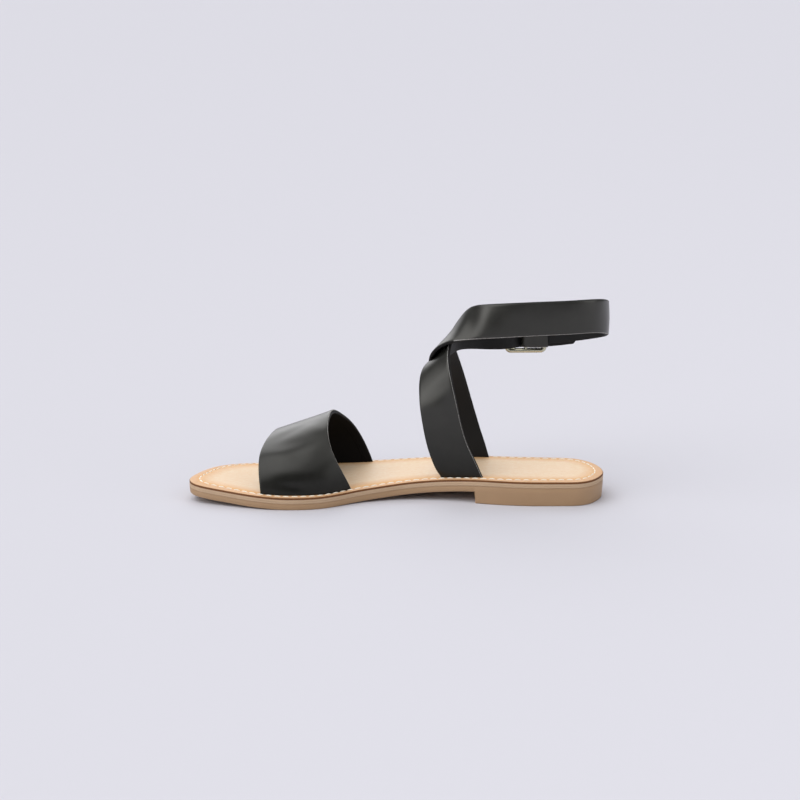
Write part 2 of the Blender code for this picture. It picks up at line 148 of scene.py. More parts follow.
paint_sky()
print("glows:", ", ".join(glow.name for glow in GLOWS))

# %% Floor and lamp
FLOOR_SIDE = 60.0
FLOOR_COLOUR = (0.622, 0.617, 0.66)


def add_floor():
    half = FLOOR_SIDE / 2
    mesh = bpy.data.meshes.new("floor")
    corners = [(-half, -half, 0), (half, -half, 0), (half, half, 0), (-half, half, 0)]
    mesh.from_pydata(corners, [], [(0, 1, 2, 3)])
    paint = bpy.data.materials.new("pale_floor")
    paint.use_nodes = True
    shader = paint.node_tree.nodes["Principled BSDF"]
    shader.inputs["Base Color"].default_value = (*FLOOR_COLOUR, 1)
    shader.inputs["Roughness"].default_value = 1.0
    shader.inputs["Specular IOR Level"].default_value = 0.0
    mesh.materials.append(paint)
    link("floor", mesh)


def add_lamp(name, place, aim, side, watts):
    data = bpy.data.lights.new(name, "AREA")
    data.size, data.energy = side, watts
    made = link(name, data)
    made.location = place
    made.rotation_euler = (Vector(aim) - made.location).to_track_quat("-Z", "Y").to_euler()


add_floor()
add_lamp("right_lamp", place=(1.6, -0.9, 1.5), aim=(0.25, -0.1, 0.0), side=0.8, watts=4.0)
bpy.context.scene.view_settings.view_transform = "Standard"
print(f"floor of {FLOOR_SIDE:.0f} m, lamps: {[lamp.name for lamp in bpy.data.lights]}")

# %% [markdown]
# ## Finishes
# A finish is a small tree of nodes that ends in one Principled shader. The patterns read Object
# coordinates, in metres, so a noise of scale 1000 has bumps about a millimetre wide. A helper makes
# the nodes and another joins them, which keeps each finish to a few lines. A value that is the same
# all over a surface is set on the shader's own socket, because a linked one may be lost in export.

# %% Helpers for node trees
def display(red, green, blue):
    """Linear colour from the 0 to 255 values that a screen shows."""
    shares = (np.array([red, green, blue]) / 255 + 0.055) / 1.055
    return (*(shares**2.4), 1.0)


class Finish:
    """A material with its shader, and short ways to add the nodes that drive it."""

    def __init__(self, name, colour, roughness, **sockets):
        self.material = bpy.data.materials.new(name)
        self.material.use_nodes = True
        self.tree = self.material.node_tree
        self.shader = self.tree.nodes["Principled BSDF"]
        self.set("Base Color", colour)
        self.set("Roughness", roughness)
        for socket, value in sockets.items():
            self.set(socket.replace("_", " ").title().replace("Ior", "IOR"), value)
        self.material.diffuse_color = colour

    def set(self, socket, value):
        self.shader.inputs[socket].default_value = value

    def node(self, kind, settings=(), **inputs):
        made = self.tree.nodes.new("ShaderNode" + kind)
        for name, value in dict(settings).items():
            setattr(made, name, value)
        for name, value in inputs.items():
            self.feed(made.inputs[name.replace("_", " ")], value)
        return made

    def feed(self, socket, value):
        if isinstance(value, bpy.types.NodeSocket):
            self.tree.links.new(value, socket)
        else:
            socket.default_value = value

    def place(self):
        return self.node("TexCoord").outputs["Object"]

    def noise(self, scale, detail=3.0, roughness=0.55):
        made = self.node("TexNoise", Scale=scale, Detail=detail, Roughness=roughness)
        self.feed(made.inputs["Vector"], self.place())
        return made.outputs["Fac"]

    def cells(self, scale):
        made = self.node("TexVoronoi", {"feature": "DISTANCE_TO_EDGE"}, Scale=scale)
        self.feed(made.inputs["Vector"], self.place())
        return made.outputs["Distance"]

    def remap(self, value, low, high, to_low, to_high):
        made = self.node("MapRange")
        for socket, number in zip(made.inputs, (value, low, high, to_low, to_high)):
            self.feed(socket, number)
        return made.outputs["Result"]

    def blend(self, share, first, second, kind="MIX"):
        made = self.node("Mix", {"data_type": "RGBA", "blend_type": kind})
        self.feed(made.inputs[0], share)
        self.feed(made.inputs[6], first)
        self.feed(made.inputs[7], second)
        return made.outputs[2]

    def maths(self, operation, first, second=0.0, third=0.0):
        made = self.node("Math", {"operation": operation})
        for socket, number in zip(made.inputs, (first, second, third)):
            self.feed(socket, number)
        return made.outputs[0]

    def colour(self, value):
        self.feed(self.shader.inputs["Base Color"], value)

    def roughness(self, value):
        self.feed(self.shader.inputs["Roughness"], value)

    def bump(self, *heights):
        """Layers of relief, each a height value, its depth in millimetres and its strength."""
        normal = None
        for height, depth, strength in heights:
            made = self.node("Bump", Height=height, Distance=depth * MM, Strength=strength)
            if normal:
                self.feed(made.inputs["Normal"], normal)
            normal = made.outputs["Normal"]
        self.feed(self.shader.inputs["Normal"], normal)


print(f"screen grey 128 is {display(128, 128, 128)[0]:.3f} in linear light")

# %% [markdown]
# ### Black leather, its lining and its cut edge
# The upper is smooth, polished cowhide. From a step away it looks plain, with wide grey reflections.
# Close up it has a fine pebble of pores under a thin coat of polish. Cells give the pores, a fine
# noise breaks them up, and a slow noise varies the polish so that long reflections are not perfect.
# Towards the sole its specular level is lowered as painted shade, so the feet of the straps look darker.
# The inside is unpolished; inside the toe band it is a darker copy, painted shade. The cut edge is dyed.
# A thin pale line where some edges meet the outside is a painted highlight. Each is a finish of its own.

# %% Finishes of the upper
# Between these heights the specular level rises; the low level near the sole is painted shade.
SHADE_HEIGHTS = (0.006, 0.05)
SHADE_SPECULAR_LEVELS = (0.12, 0.55)


def black_leather():
    finish = Finish("black_leather", display(18, 18, 16), 0.34, coat_weight=0.25, coat_roughness=0.2)
    finish.set("Specular Tint", display(255, 253, 243))
    pores = finish.remap(finish.cells(1100), 0.0, 0.25, 0.0, 1.0)
    fine = finish.noise(5200, detail=2)
    slow = finish.noise(45, detail=2)
    finish.roughness(finish.remap(slow, 0.3, 0.7, 0.28, 0.4))
    shade = finish.remap(finish.noise(90), 0.3, 0.7, 0.0, 1.0)
    finish.colour(finish.blend(shade, display(16, 16, 14), display(25, 25, 22)))
    finish.bump((slow, 0.5, 0.35), (pores, 0.03, 0.2), (fine, 0.01, 0.15))
    # Painted shade: the reflection weakens towards the sole, so the feet of the straps look darker.
    height = finish.node("SeparateXYZ", Vector=finish.place()).outputs["Z"]
    shade_by_height = finish.remap(height, *SHADE_HEIGHTS, *SHADE_SPECULAR_LEVELS)
    finish.feed(finish.shader.inputs["Specular IOR Level"], shade_by_height)
    return finish.material


def black_lining(name, dark, light, specular):
    finish = Finish(name, dark, 0.6, specular_ior_level=specular)
    nap = finish.noise(2600, detail=4)
    finish.colour(finish.blend(nap, dark, light))
    finish.bump((nap, 0.06, 0.5))
    return finish.material


def cut_edge(name, dark, light):
    finish = Finish(name, dark, 0.6, specular_ior_level=0.25)
    fibres = finish.noise(1800, detail=4)
    share = finish.remap(fibres, 0.35, 0.65, 0.0, 1.0)
    finish.colour(finish.blend(share, dark, light))
    finish.bump((fibres, 0.06, 0.4))
    return finish.material


BLACK = black_leather()
LINING = black_lining("black_lining", display(12, 12, 13), display(26, 26, 26), 0.3)
# The toe band's inside takes a darker copy of the lining: painted shade.
SHADED_BAND_LINING = black_lining("band_lining_painted_shade", display(3, 3, 3), display(9, 9, 10), 0.12)
EDGE = cut_edge("dyed_edge", display(10, 10, 10), display(26, 25, 24))
# A pale line along some edges where they meet the outside: a painted highlight, the floor's reflection in a
# rounded edge.
EDGE_HIGHLIGHT = cut_edge("painted_edge_highlight", display(92, 91, 88), display(172, 170, 166))
print("upper:", ", ".join(f.name for f in (BLACK, LINING, SHADED_BAND_LINING, EDGE, EDGE_HIGHLIGHT)))

# %% [markdown]
# ### Tan insole, burnished edge, rubber, thread and metal
# The insole is vegetable tanned leather: pale and peachy in the middle, more orange towards the
# margin, where oil and handling gather, and darkest where the edge was burnished with hot wax.
# How far a point lies from the edge is stored on the mesh as an attribute when the insole is built,
# and the finish reads it by name. The two rubbers differ a little in colour, as two castings do.

# %% Finishes of the sole
def tan_leather():
    finish = Finish("tan_leather", display(226, 196, 156), 0.45, specular_ior_level=0.12)
    from_edge = finish.node("Attribute", {"attribute_name": "from_edge"}).outputs["Fac"]
    cloud = finish.noise(28, detail=4)
    soft = finish.maths("MULTIPLY_ADD", cloud, 9.0, -4.5)
    margin = finish.remap(finish.maths("ADD", from_edge, soft), 4.0, 15.0, 1.0, 0.0)
    tone = finish.blend(margin, display(234, 211, 183), display(221, 171, 112))
    rim = finish.remap(from_edge, 3.2, 5.6, 1.0, 0.0)
    tone = finish.blend(rim, tone, display(215, 175, 136))
    grain = finish.noise(420, detail=5, roughness=0.65)
    speck = finish.remap(grain, 0.3, 0.7, 0.0, 1.0)
    finish.colour(finish.blend(speck, tone, display(250, 240, 226), "MULTIPLY"))
    finish.roughness(finish.remap(cloud, 0.3, 0.7, 0.4, 0.52))
    pores = finish.remap(finish.cells(900), 0.0, 0.2, 0.0, 1.0)
    finish.bump((grain, 0.04, 0.3), (pores, 0.02, 0.25))
    return finish.material


def burnished_edge():
    finish = Finish("burnished_edge", display(108, 70, 42), 0.5, specular_ior_level=0.15)
    streak = finish.noise(700, detail=4)
    finish.colour(finish.blend(streak, display(88, 54, 32), display(132, 88, 54)))
    finish.bump((streak, 0.05, 0.3))
    return finish.material


def rubber(name, dark, light, roughness):
    finish = Finish(name, light, roughness)
    cloud = finish.noise(60, detail=3)
    finish.colour(finish.blend(cloud, dark, light))
    skin = finish.noise(2400, detail=3)
    finish.bump((skin, 0.03, 0.3))
    return finish.material


def waxed_thread():
    finish = Finish("waxed_thread", display(246, 238, 222), 0.6)
    twist = finish.noise(3000, detail=2)
    finish.colour(finish.blend(twist, display(236, 226, 205), display(255, 250, 238)))
    finish.bump((twist, 0.06, 0.5))
    return finish.material


def pale_gold():
    finish = Finish("pale_gold", display(192, 189, 166), 0.22, metallic=1.0)
    wear = finish.noise(900, detail=4)
    finish.roughness(finish.remap(wear, 0.3, 0.7, 0.16, 0.32))
    finish.bump((wear, 0.01, 0.2))
    return finish.material


TAN, BURNISHED = tan_leather(), burnished_edge()
MIDSOLE_RUBBER = rubber("midsole_rubber", display(186, 157, 126), display(200, 172, 142), 0.55)
OUTSOLE_RUBBER = rubber("outsole_rubber", display(161, 129, 96), display(173, 141, 107), 0.48)
THREAD, GOLD = waxed_thread(), pale_gold()
print("sole:", TAN.name, BURNISHED.name, MIDSOLE_RUBBER.name, OUTSOLE_RUBBER.name)

# %% [markdown]
# ## Curves through a few sections
# A shoemaker's last is drawn from a few measured sections, and the curve between them is left to a
# springy batten. A natural cubic spline is that batten in numbers: it passes through every section
# and bends as little as it can. One function serves the sole, the band and the straps.

# %% Batten curve and small vector helpers
def unit(vectors):
    vectors = np.asarray(vectors, float)
    return vectors / np.linalg.norm(vectors, axis=-1, keepdims=True)


def ease(share):
    share = np.clip(share, 0, 1)
    return share * share * (3 - 2 * share)


def spline(knots, values):
    """Natural cubic spline through a table, as a function of the knot variable."""
    knots = np.asarray(knots, float)
    values = np.asarray(values, float).reshape(len(knots), -1)
    count, step = len(knots), np.diff(knots)
    system, right = np.eye(count), np.zeros_like(values)
    for i in range(1, count - 1):
        system[i, i - 1 : i + 2] = step[i - 1], 2 * (step[i - 1] + step[i]), step[i]
        rise_after = (values[i + 1] - values[i]) / step[i]
        rise_before = (values[i] - values[i - 1]) / step[i - 1]
        right[i] = 6 * (rise_after - rise_before)
    bend = np.linalg.solve(system, right)

    def at(query):
        query = np.atleast_1d(np.asarray(query, float))
        i = np.clip(np.searchsorted(knots, query) - 1, 0, count - 2)
        width = step[i][:, None]
        a = (knots[i + 1] - query)[:, None] / width
        b = 1 - a
        curve = (a**3 - a) * bend[i] + (b**3 - b) * bend[i + 1]
        return a * values[i] + b * values[i + 1] + curve * width**2 / 6

    return at


print(f"a batten bent 1 mm up in its middle is {spline([0, 1, 2], [0, 1, 0])(0.5)[0, 0]:.2f} mm up half way")

# %% From points to a finished object
SHARP_ANGLE = math.radians(40)


def place_points(points):
    """Points in millimetres from the toe tip, as metres in the frame of the solids."""
    return (np.asarray(points, float) + [TOE_X, 0, 0]) * MM


def face_outwards(mesh):
    """Turns a closed mesh round where its signed volume says that it is inside out."""
    mesh.calc_loop_triangles()
    corners = np.array([t.vertices for t in mesh.loop_triangles])
    points = np.array([v.co for v in mesh.vertices])[corners]
    volume = np.sum(points[:, 0] * np.cross(points[:, 1], points[:, 2]))
    if volume < 0:
        mesh.flip_normals()


def smooth(mesh):
    mesh.shade_smooth()
    mesh.set_sharp_from_angle(angle=SHARP_ANGLE)


def build_piece(name, points, faces, finishes, slots):
    """A closed object from points, faces and the finish that each face takes."""
    mesh = bpy.data.meshes.new(name)
    mesh.from_pydata(place_points(points).tolist(), [], faces)
    mesh.polygons.foreach_set("material_index", np.asarray(slots, np.int32))
    face_outwards(mesh)
    smooth(mesh)
    for finish in finishes:
        mesh.materials.append(finish)
    return link(name, mesh)


def evaluated_mesh(made):
    """What an object's modifiers or bevel make of it, as a plain mesh."""
    graph = bpy.context.evaluated_depsgraph_get()
    return bpy.data.meshes.new_from_object(made.evaluated_get(graph))


def hand_over(piece, slot, *nodes):
    """The piece rides on the sandal's one body and stands for its solids."""
    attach(piece, "root")
    if nodes:
        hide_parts(*nodes)
    print(f"{piece.name}: {len(piece.data.polygons)} faces")


print("toe tip in metres:", place_points([0, 0, 0]))

# %% [markdown]
# ## The sole's shape
# Seen from above, the sole is long on the inner side at the big toe, narrow at the waist and round
# at the heel. Seen from the side, the toe springs off the floor, the ball lies flat, and the waist
# rises to the heel block. The table holds the width at each place along the foot. Measuring the
# place as an angle, not a length, lets the same table draw round ends without a corner.

# %% Outline of the sole
Plan = namedtuple("Plan", "x medial lateral")
PLAN = [
    Plan(0, -16, -16),
    Plan(4, -26.5, 1),
    Plan(12, -31.5, 18),
    Plan(25, -36.5, 31),
    Plan(42, -42.5, 39),
    Plan(65, -45, 44),
    Plan(80, -42, 45),
    Plan(91, -36, 44.8),
    Plan(101, -29.8, 44),
    Plan(113, -25.2, 42.6),
    Plan(130, -21.8, 40),
    Plan(150, -23, 36),
    Plan(170, -28.3, 32),
    Plan(190, -33.8, 29),
    Plan(207, -36, 27.2),
    Plan(223, -36.1, 25.6),
    Plan(234, -35.5, 23.8),
    Plan(243.5, -29.4, 16.4),
    Plan(249, -19.4, 5.6),
    Plan(251.2, -9, -9),
]


def share_of(x):
    return np.arccos(1 - 2 * np.clip(x, 0, LENGTH) / LENGTH) / math.pi


plan_sides = spline([share_of(row.x) for row in PLAN], [row[1:] for row in PLAN])
print(f"{len(PLAN)} places along the foot, the last at {PLAN[-1].x} mm")

# %% Heights of the sole
BALL_FRONT, BALL_BACK, HEEL_FRONT = 60.0, 82.0, 185.0
TOE_SPRING, SPRING_POWER, ARCH_RISE = 4.3, 1.4, 7.4
OUTSOLE_THICK, MIDSOLE_THICK, INSOLE_EDGE, LAYER_GAP = 3.8, 1.8, 1.3, 0.3
PAD_RISE, PAD_MARGIN = 0.6, 6.0


def underside(x):
    toe = TOE_SPRING * np.clip((BALL_FRONT - x) / BALL_FRONT, 0, 1) ** SPRING_POWER
    return toe + ARCH_RISE * ease((x - BALL_BACK) / (HEEL_FRONT - BALL_BACK))


def outsole_top(x):
    return underside(x) + OUTSOLE_THICK


def midsole_top(x):
    return outsole_top(x) + LAYER_GAP + MIDSOLE_THICK


def insole_bottom(x):
    return midsole_top(x) + LAYER_GAP


def insole_edge(x):
    return insole_bottom(x) + INSOLE_EDGE


def insole_surface(x, inset):
    """Height of the insole's top: its margin slopes up to the padded middle."""
    share = np.clip(inset / PAD_MARGIN, 0, 1)
    return insole_edge(x) + PAD_RISE * np.sin(share * math.pi / 2)


heights = [insole_edge(x) for x in (BALL_BACK, HEEL_FRONT)]
print("insole edge above the floor at ball and heel:", np.round(heights, 1), "mm")

# %% [markdown]
# ## Rings stacked into layers
# Every layer of the sole is a stack of rings: the outline, moved inwards and set to a height that
# changes along the foot. A ring every fraction of a millimetre gives a groove or a rounded edge.
# A bevel modifier could round the edges too, but it would round each of them alike, and the edge of
# a moulded sole, a cut strip and a burnished insole differ.

# %% Rings of the sole
STATIONS = 150
BREAST = 172.5
BREAST_STEPS = np.array([-0.6, -0.1, 0.1, 0.4, 0.8])
BREAST_CLEAR = 1.0


def station_places():
    """Places along the foot, close together at the ends, with the heel's front face as a step."""
    even = LENGTH / 2 * (1 - np.cos(np.pi * np.arange(STATIONS + 1) / STATIONS))
    step = BREAST + BREAST_STEPS
    clear = even[(even < step[0] - BREAST_CLEAR) | (even > step[-1] + BREAST_CLEAR)]
    return np.sort(np.concatenate([clear, step]))


def sole_outline():
    """Toe tip, lateral side, heel and medial side, as a closed ring seen from above."""
    places = station_places()
    sides = plan_sides(share_of(places))
    lateral = np.column_stack([places, sides[:, 1]])
    medial = np.column_stack([places, sides[:, 0]])
    return np.vstack([lateral, medial[-2:0:-1]])


OUTLINE = sole_outline()
RING_X = OUTLINE[:, 0]
ahead = unit(np.roll(OUTLINE, -1, axis=0) - np.roll(OUTLINE, 1, axis=0))
INWARD = np.column_stack([ahead[:, 1], -ahead[:, 0]])


def ring(inset, height):
    """The outline moved inwards and set to a height; both may change along it."""
    inset = np.broadcast_to(inset, RING_X.shape)
    return np.column_stack([OUTLINE + INWARD * inset[:, None], np.broadcast_to(height, RING_X.shape)])


print(f"outline of {len(OUTLINE)} points, widest {np.ptp(OUTLINE[:, 1]):.1f} mm")

# %% Layers from rings
def cap(points, start, columns, upward):
    """Closes a ring with strips across the foot, each divided into columns."""
    size = len(RING_X)
    rows = []
    for k in range(size // 2 + 1):
        left, right = start + k, start + (size - k) % size
        row = [left]
        for c in range(1, columns if left != right else 1):
            row.append(len(points))
            points.append(points[left] + (points[right] - points[left]) * c / columns)
        rows.append(row + [right])
    faces = []
    for near, far in zip(rows, rows[1:]):
        for c in range(columns):
            a, b = min(c, len(near) - 1), min(c + 1, len(near) - 1)
            d, e = min(c, len(far) - 1), min(c + 1, len(far) - 1)
            quad = list(dict.fromkeys([near[a], far[d], far[e], near[b]]))
            faces.append(quad[::-1] if upward else quad)
    return faces


def sole_layer(name, rings, finishes, band_slots, bottom_slot, top_slot, columns=1):
    """Stacked rings from the bottom up, closed at both ends, with a finish for each band."""
    size = len(RING_X)
    points = [point for one in rings for point in one]
    faces, slots = [], []
    for k in range(len(rings) - 1):
        for i in range(size):
            j = (i + 1) % size
            low, high = k * size, (k + 1) * size
            faces.append((low + j, low + i, high + i, high + j))
        slots += [band_slots[k]] * size
    bottom = cap(points, 0, 1, False)
    top = cap(points, (len(rings) - 1) * size, columns, True)
    slots += [bottom_slot] * len(bottom) + [top_slot] * len(top)
    return build_piece(name, points, faces + bottom + top, finishes, slots)


def plain_layer(name, rings, finish):
    """A layer with the same finish all over."""
    return sole_layer(name, rings, [finish], [0] * (len(rings) - 1), 0, 0)


print(f"a band between two rings has {len(RING_X)} faces")

# %% [markdown]
# ### Outsole and heel
# The outsole and its low heel are one rubber casting. The wall leans in slightly towards the floor
# so that it leaves its mould, the lower edge is rounded, and the heel's front corners are eased.
# A shallow groove under the top edge is the mould's parting line. The solids keep a gap of 0.3 mm
# between layers. The real layers are glued, so here each one reaches almost half way across the gap.

# %% Build the outsole
WALL_INSET, HEEL_TAPER, HEEL_CORNER = 0.3, 0.8, 0.5
BOTTOM_ROUND, BOTTOM_STEPS = 0.8, 4
PARTING_DEPTH, PARTING_BELOW, PARTING_HALF = 0.15, 0.55, 0.3
SOLE_LINE, LINE_INSET, LIP_INSET = 1.6, 0.25, 0.1
FILL, FILL_INSET = 0.13, 0.2

heel = (RING_X > BREAST).astype(float)
floor_height = underside(RING_X) * (1 - heel)
heel_corner = HEEL_CORNER * (1 - ease((RING_X - BREAST) / HEEL_CORNER))
heel_lean = (HEEL_TAPER - WALL_INSET) * ease((RING_X - BREAST) / (LENGTH - BREAST))
wall_inset = WALL_INSET + heel * (heel_lean + heel_corner)
outsole_rings = []
for turn in np.linspace(0, math.pi / 2, BOTTOM_STEPS + 1):
    inwards, upwards = 1 - math.sin(turn), 1 - math.cos(turn)
    outsole_rings.append(ring(wall_inset + BOTTOM_ROUND * inwards, floor_height + BOTTOM_ROUND * upwards))
sole_line = underside(RING_X) + SOLE_LINE * (1 - heel)
top = outsole_top(RING_X)
parting = top - PARTING_BELOW
outsole_rings += [
    ring(LINE_INSET, sole_line),
    ring(LIP_INSET, parting - PARTING_HALF),
    ring(LIP_INSET + PARTING_DEPTH, parting),
    ring(LIP_INSET, parting + PARTING_HALF),
    ring(LIP_INSET, top),
    ring(FILL_INSET, top + FILL),
]
hand_over(plain_layer("outsole_rubber", outsole_rings, OUTSOLE_RUBBER), "outsole", "outsole")

# %% [markdown]
# ### Midsole strip
# Between the casting and the insole runs a paler strip, about two millimetres high, with a fine
# line scored round it. The score is one ring pulled inwards.

# %% Build the midsole
SCORE_DEPTH = 0.22
StripRing = namedtuple("StripRing", "inset share")
STRIP_PROFILE = [
    StripRing(FILL_INSET, 0.0),
    StripRing(0.05, 0.05),
    StripRing(0.0, 0.15),
    StripRing(0.0, 0.5),
    StripRing(SCORE_DEPTH, 0.57),
    StripRing(0.0, 0.64),
    StripRing(0.0, 0.9),
    StripRing(0.04, 1.0),
]
midsole_bottom = outsole_top(RING_X) + LAYER_GAP
strip_low, strip_high = midsole_bottom - FILL, midsole_bottom + MIDSOLE_THICK + FILL
midsole_rings = []
for row in STRIP_PROFILE:
    midsole_rings.append(ring(row.inset, strip_low + row.share * (strip_high - strip_low)))
hand_over(plain_layer("midsole_strip", midsole_rings, MIDSOLE_RUBBER), "midsole", "midsole")

# %% [markdown]
# ### Insole
# The insole is one sheet of tan leather on a thin pale board. Its edge is burnished, its margin slopes
# up to a soft middle, and a shallow channel holds the row of stitches. The channel wanders: it lies
# further in at the toe and heel, and close to the edge where the straps go down beside it.
# The top is divided into columns so that every point can know how far from the edge it lies.

# %% Line of the stitches
StitchPlace = namedtuple("StitchPlace", "x inset")
STITCH_LINE = [
    StitchPlace(0, 6.2),
    StitchPlace(18, 5.2),
    StitchPlace(44, 3.45),
    StitchPlace(110, 3.45),
    StitchPlace(150, 3.45),
    StitchPlace(184, 3.45),
    StitchPlace(206, 4.5),
    StitchPlace(252, 5.0),
]
stitch_line = spline([row.x for row in STITCH_LINE], [row.inset for row in STITCH_LINE])
stitch_inset = stitch_line(RING_X)[:, 0]
print(f"stitches {stitch_inset.min():.1f} to {stitch_inset.max():.1f} mm from the edge")

# %% Build the insole
CHANNEL_DEPTH, CHANNEL_HALF, CHANNEL_RINGS = 0.22, 0.9, 5
BOARD_THICK, BOARD_INSET, SEAM_DEPTH, SEAM_HEIGHT = 0.2, 0.04, 0.12, 0.1
EDGE_ROUND, EDGE_EASE = 0.3, 0.09
MARGIN_RING, MIDDLE_RING = 1.4, 7.5
TOP_COLUMNS = 24
TOP_SLOT, EDGE_SLOT, BOARD_SLOT = range(3)
EDGE_BANDS = 4


def top_ring(inset, dip=0.0):
    """A ring on the insole's top, as far below it as the dip says."""
    return ring(inset, insole_surface(RING_X, inset) - dip)


insole_low, insole_high = insole_bottom(RING_X), insole_edge(RING_X)
insole_rings = [
    ring(BOARD_INSET, insole_low - FILL),
    ring(0.0, insole_low + BOARD_THICK),
    ring(SEAM_DEPTH, insole_low + BOARD_THICK + SEAM_HEIGHT),
    ring(0.0, insole_high - EDGE_ROUND),
    ring(EDGE_EASE, insole_high - EDGE_EASE),
    top_ring(EDGE_ROUND),
    top_ring(MARGIN_RING),
]
for place in np.linspace(-1, 1, CHANNEL_RINGS):
    insole_rings.append(top_ring(stitch_inset + place * CHANNEL_HALF, CHANNEL_DEPTH * (1 - place**2)))
insole_rings.append(top_ring(MIDDLE_RING))
bands = len(insole_rings) - 1
insole_slots = [BOARD_SLOT] + [EDGE_SLOT] * EDGE_BANDS + [TOP_SLOT] * (bands - EDGE_BANDS - 1)
insole = sole_layer(
    "insole_leather",
    insole_rings,
    [TAN, BURNISHED, MIDSOLE_RUBBER],
    insole_slots,
    BOARD_SLOT,
    TOP_SLOT,
    TOP_COLUMNS,
)
print(f"insole of {bands} bands before its slits are cut")

# %% [markdown]
# ## Leather with a real wall
# A strap is a strip of two millimetre leather, so it needs an outer face, a lined inner face and
# two edges. Solidify could thicken a strip, but its edges come out square. Here each cross section is
# a closed loop: across the outside, round one edge, back across the inside, round the other edge.
# The loops are then joined in a row, and every face is told whether it is outside, lining or edge.

# %% Wall from a middle surface
LEATHER, SKIVED_LEATHER = 2.0, 1.4
EDGE_BULGE = 0.45
EDGE_STEPS = 5

# Kinds of face round a section. A line of painted highlight is two faces wide, and a hairline one.
OUTSIDE, INSIDE, CUT, LINE, HAIRLINE = range(5)
LINE_FACES = {LINE: 2, HAIRLINE: 1}


def edge_pattern(kind):
    """Finishes round one edge from the outside in; a highlighted edge starts with a pale line of painted
    highlight.
    """
    if kind in LINE_FACES:
        return [LINE] * LINE_FACES[kind] + [CUT] * (EDGE_STEPS + 1 - LINE_FACES[kind])
    return [kind] * (EDGE_STEPS + 1)


def leather_wall(name, middle, out, half_out, half_in, edges, finishes, highlight_row=0):
    """A closed wall about rows of points on its middle surface.

    Edges gives the finish of the first and the last edge. Before highlight_row no edge gets its painted
    highlight.
    """
    rows, columns = middle.shape[:2]
    outer = middle + out * half_out
    inner = middle - out * half_in
    turns = np.radians(np.linspace(90, -90, EDGE_STEPS + 2)[1:-1])[None, :, None]

    def rounded(at, beside):
        sideways = unit(middle[:, at] - middle[:, beside])[:, None]
        centre = ((outer + inner) / 2)[:, at][:, None]
        half = ((outer - inner) / 2)[:, at][:, None]
        return centre + half * np.sin(turns) + sideways * EDGE_BULGE * np.cos(turns)

    last, first = rounded(-1, -2), rounded(0, 1)[:, ::-1]
    loop = np.concatenate([outer, last, inner[:, ::-1], first], axis=1)
    size = loop.shape[1]
    pattern = [OUTSIDE] * (columns - 1) + edge_pattern(edges[1])
    pattern += [INSIDE] * (columns - 1) + edge_pattern(edges[0])[::-1]
    faces = []
    for i in range(rows - 1):
        for j in range(size):
            k = (j + 1) % size
            faces.append((i * size + j, i * size + k, (i + 1) * size + k, (i + 1) * size + j))
    # Rows before highlight_row keep the dyed edge in place of the painted highlight.
    unhighlighted = [CUT if kind == LINE else kind for kind in pattern]
    slots = unhighlighted * highlight_row + pattern * (rows - 1 - highlight_row)
    opposite = 2 * columns + EDGE_STEPS - 1
    for start, turned in ((0, True), ((rows - 1) * size, False)):
        ends = [[j, j + 1, opposite - j - 1, opposite - j] for j in range(columns - 1)]
        ends.append(list(range(columns - 1, columns + EDGE_STEPS + 1)))
        ends.append(list(range(opposite, size)) + [0])
        for end in ends:
            faces.append([start + v for v in (end[::-1] if turned else end)])
            slots.append(CUT)
    return build_piece(name, loop.reshape(-1, 3), faces, finishes, slots)


print(f"walls of {LEATHER} mm leather with {EDGE_STEPS + 2} points round each edge")

# %% Finishes by kind of face, and a cut
STRAP_FINISHES = [BLACK, LINING, EDGE, EDGE_HIGHLIGHT]
BAND_FINISHES = [BLACK, SHADED_BAND_LINING, EDGE, EDGE_HIGHLIGHT]


def cut_away(piece, cutter):
    """Cuts one closed shape out of a piece with an exact Boolean, and removes the cutter."""
    modifier = piece.modifiers.new("cut", "BOOLEAN")
    modifier.operation, modifier.solver, modifier.object = "DIFFERENCE", "EXACT", cutter
    mesh = evaluated_mesh(piece)
    piece.modifiers.clear()
    piece.data = mesh
    bpy.data.objects.remove(cutter)


print("strap:", ", ".join(finish.name for finish in STRAP_FINISHES))

# %% [markdown]
# ### Toe band
# One wide band crosses the toes. It is an arch from the inner slit to the outer slit, and its two
# edges run at different places along the foot, so the band is wider at its ends than on top.
# The leather was pulled over a last by hand: it has soft dents and ridges. Each crease is placed by
# its way round the band and its way along, and pushes the surface in or out along a soft line.
# Inside the rear edge the leather is turned over into a narrow hem.

# %% Creases, placed one by one
Crease = namedtuple("Crease", "round along turn length width depth")
BAND_CREASES = [
    Crease(36, 20, -15, 13, 5.0, -0.5),
    Crease(28, 12, -25, 10, 5.0, 0.5),
    Crease(24, 26, -5, 12, 4.5, -0.45),
    Crease(17, 12, -30, 8, 4.5, 0.4),
    Crease(14, 28, -15, 11, 4.0, 0.3),
    Crease(7, 20, -10, 10, 3.0, -0.35),
    Crease(47, 12, 20, 10, 5.0, -0.4),
    Crease(44, 30, -40, 9, 4.0, 0.35),
    Crease(95, 24, -30, 14, 4.5, -0.6),
    Crease(106, 30, -20, 12, 4.0, 0.4),
]
MEDIAL_CREASES = [
    Crease(30, 2, 15, 9, 6.0, -0.4),
    Crease(47, -2, -10, 10, 5.0, 0.4),
    Crease(58, 2, 20, 10, 5.0, -0.45),
    Crease(72, -3, 10, 9, 5.0, 0.35),
]
LATERAL_CREASES = [
    Crease(112, 1, 20, 9, 5.0, 0.4),
    Crease(121, 0, 15, 10, 4.5, -0.5),
    Crease(131, 1, 10, 10, 5.0, 0.4),
    Crease(150, -3, 25, 8, 8.0, -0.35),
    Crease(178, 3, -15, 9, 9.0, 0.3),
    Crease(205, 0, 5, 10, 7.0, -0.35),
]


